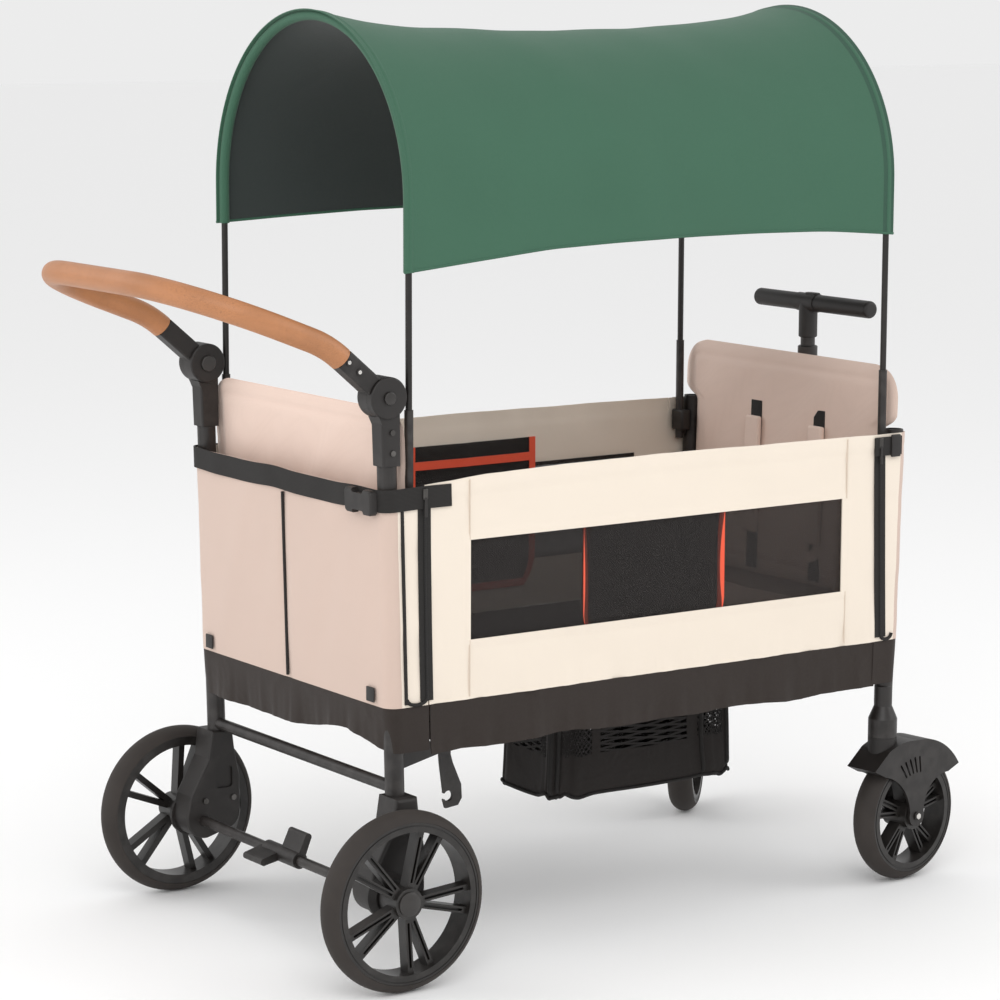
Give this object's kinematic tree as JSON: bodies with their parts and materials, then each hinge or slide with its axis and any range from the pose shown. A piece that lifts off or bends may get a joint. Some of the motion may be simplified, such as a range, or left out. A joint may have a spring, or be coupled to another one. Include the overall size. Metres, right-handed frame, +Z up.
{
  "type": "folding wagon with pull handle",
  "caption": "Folding push-and-pull wagon: cloth tub with mesh windows on a tube frame, tilting push handle, telescoping T pull handle, arched canopy, swivel front casters and foot brake.",
  "frame": {"origin": "on the floor midway between the rear wheels, straight under their axle", "axes": "+X towards the pull handle at the front, +Y to the wagon's left, +Z up; the tub is symmetric about Y = 0"},
  "size_m": [1.2573, 0.6542, 1.2223],
  "materials": {
    "frame_paint": "satin black powder coat",
    "black_moulding": "fine-grained black plastic",
    "tyre_rubber": "matt solid rubber",
    "tan_grip": "smooth stitched sleeve",
    "blush_cloth": "woven polyester",
    "cream_cloth": "woven polyester",
    "dark_cloth": "coarse woven polyester",
    "green_cloth": "coated woven polyester",
    "dark_mesh": "open mesh",
    "webbing": "ribbed webbing",
    "bolt_steel": "blackened",
    "rod_metal": "black paint on thin steel rod"
  },
  "bodies": {
    "frame": {"rear_upright_left": "frame_paint", "rear_upright_right": "frame_paint", "wheel_bracket_left": "black_moulding", "wheel_bracket_right": "black_moulding", "handle_base_left": "black_moulding", "handle_base_right": "black_moulding", "side_panel_left": "cream_cloth", "side_panel_right": "cream_cloth", "rear_cross_tube": "frame_paint", "rear_end_panel": "blush_cloth", "rear_backrest": "blush_cloth", "rear_skirt": "dark_cloth", "window_meshes": "dark_mesh", "side_skirts": "dark_cloth", "storage_basket": "dark_cloth", "rear_strap": "webbing", "strap_buckle": "black_moulding", "side_pockets": "dark_mesh", "frame_bolts": "bolt_steel"},
    "push_handle": {"handle_tube": "frame_paint", "handle_grip": "tan_grip", "handle_arm_left": "black_moulding", "handle_arm_right": "black_moulding"},
    "tilt_button_l": {"tilt_button_left": "black_moulding"},
    "tilt_button_r": {"tilt_button_right": "black_moulding"},
    "rear_wheel_left": {"rear_tyre_left": "tyre_rubber", "rear_rim_left": "black_moulding", "hub_cap_left": "black_moulding"},
    "rear_wheel_right": {"rear_tyre_right": "tyre_rubber", "rear_rim_right": "black_moulding", "hub_cap_right": "black_moulding"},
    "brake": {"brake_shaft": "frame_paint", "brake_pedal": "black_moulding"},
    "hook": {"fold_hook": "black_moulding"},
    "floor_rear": {"floor_panel_rear": "dark_cloth", "seat_cushion_rear": "blush_cloth"},
    "floor_front": {"floor_panel_front": "dark_cloth", "seat_cushion_front": "blush_cloth"},
    "front_frame": {"front_upright_left": "frame_paint", "front_upright_right": "frame_paint", "front_cross_tube": "frame_paint", "front_end_panel": "blush_cloth", "front_backrest": "blush_cloth", "front_skirt": "dark_cloth", "pull_bracket": "black_moulding", "harness_pads": "blush_cloth"},
    "caster_left": {"caster_fork_left": "black_moulding"},
    "caster_right": {"caster_fork_right": "black_moulding"},
    "caster_wheel_left": {"caster_tyre_left": "tyre_rubber", "caster_rim_left": "black_moulding"},
    "caster_wheel_right": {"caster_tyre_right": "tyre_rubber", "caster_rim_right": "black_moulding"},
    "pull_stem": {"pull_tube_outer": "frame_paint"},
    "pull_slide": {"pull_tube_inner": "frame_paint", "pull_grip": "black_moulding"},
    "pull_release": {"pull_button": "black_moulding"},
    "canopy": {"canopy_hoop_rear": "rod_metal", "canopy_fabric": "green_cloth"},
    "canopy_front": {"canopy_hoop_front": "rod_metal"}
  },
  "joints": [
    {"name": "push_handle_tilt", "type": "hinge", "parent": "frame", "child": "push_handle", "pos_m": [0.012, 0, 0.747], "axis": [0, 1, 0], "range_deg": [-70, 45]},
    {"name": "tilt_button_left_press", "type": "slide", "parent": "push_handle", "child": "tilt_button_l", "axis": [0, 1, 0], "range_m": [0, 0.004], "stiffness_N_per_m": 600, "springref_m": -0.001},
    {"name": "tilt_button_right_press", "type": "slide", "parent": "push_handle", "child": "tilt_button_r", "axis": [0, -1, 0], "range_m": [0, 0.004], "stiffness_N_per_m": 600, "springref_m": -0.001},
    {"name": "rear_wheel_left_spin", "type": "hinge", "parent": "frame", "child": "rear_wheel_left", "pos_m": [0, 0.289, 0.117], "axis": [0, 1, 0], "continuous": true},
    {"name": "rear_wheel_right_spin", "type": "hinge", "parent": "frame", "child": "rear_wheel_right", "pos_m": [0, -0.289, 0.117], "axis": [0, 1, 0], "continuous": true},
    {"name": "brake_rock", "type": "hinge", "parent": "frame", "child": "brake", "pos_m": [0, 0, 0.114], "axis": [0, 1, 0], "range_deg": [0, 25]},
    {"name": "fold_hook_swing", "type": "hinge", "parent": "frame", "child": "hook", "pos_m": [0.117, -0.205, 0.284], "axis": [0, 1, 0], "range_deg": [-20, 20]},
    {"name": "fold", "type": "hinge", "parent": "frame", "child": "floor_rear", "pos_m": [0.06, 0, 0.395], "axis": [0, -1, 0], "range_deg": [0, 88], "deforming": ["side_panel_left", "side_panel_right", "side_skirts", "window_meshes", "side_pockets", "canopy_fabric", "storage_basket"]},
    {"name": "floor_mid_fold", "type": "hinge", "parent": "floor_rear", "child": "floor_front", "pos_m": [0.439, 0, 0.3], "axis": [0, -1, 0], "range_deg": [-176, 0]},
    {"name": "front_frame_fold", "type": "hinge", "parent": "floor_front", "child": "front_frame", "pos_m": [0.818, 0, 0.395], "axis": [0, -1, 0], "range_deg": [0, 88]},
    {"name": "pull_handle_swing", "type": "hinge", "parent": "front_frame", "child": "pull_stem", "pos_m": [0.882, 0, 0.295], "axis": [0, 1, 0], "range_deg": [0, 95]},
    {"name": "pull_handle_extend", "type": "slide", "parent": "pull_stem", "child": "pull_slide", "axis": [0, 0, 1], "range_m": [0, 0.28]},
    {"name": "pull_button_press", "type": "slide", "parent": "pull_slide", "child": "pull_release", "axis": [0, 0, -1], "range_m": [0, 0.003], "stiffness_N_per_m": 600, "springref_m": -0.001},
    {"name": "canopy_lift", "type": "slide", "parent": "frame", "child": "canopy", "axis": [0, 0, 1], "range_m": [0, 0.16]},
    {"name": "canopy_front_lift", "type": "slide", "parent": "front_frame", "child": "canopy_front", "axis": [0, 0, 1], "range_m": [0, 0.16]},
    {"name": "caster_left_swivel", "type": "hinge", "parent": "front_frame", "child": "caster_left", "pos_m": [0.84, 0.228, 0.212], "axis": [0, 0, 1], "continuous": true},
    {"name": "caster_left_spin", "type": "hinge", "parent": "caster_left", "child": "caster_wheel_left", "pos_m": [0.87323, 0.26123, 0.094], "axis": [-0.7071, 0.7071, 0], "continuous": true},
    {"name": "caster_right_swivel", "type": "hinge", "parent": "front_frame", "child": "caster_right", "pos_m": [0.84, -0.228, 0.212], "axis": [0, 0, 1], "continuous": true},
    {"name": "caster_right_spin", "type": "hinge", "parent": "caster_right", "child": "caster_wheel_right", "pos_m": [0.88654, -0.22146, 0.094], "axis": [-0.1392, 0.9903, 0], "continuous": true}
  ],
  "couplings": [
    {"joint": "floor_mid_fold", "follows": "fold", "ratio": -2},
    {"joint": "front_frame_fold", "follows": "fold", "ratio": 1},
    {"joint": "canopy_front_lift", "follows": "canopy_lift", "ratio": 1}
  ]
}
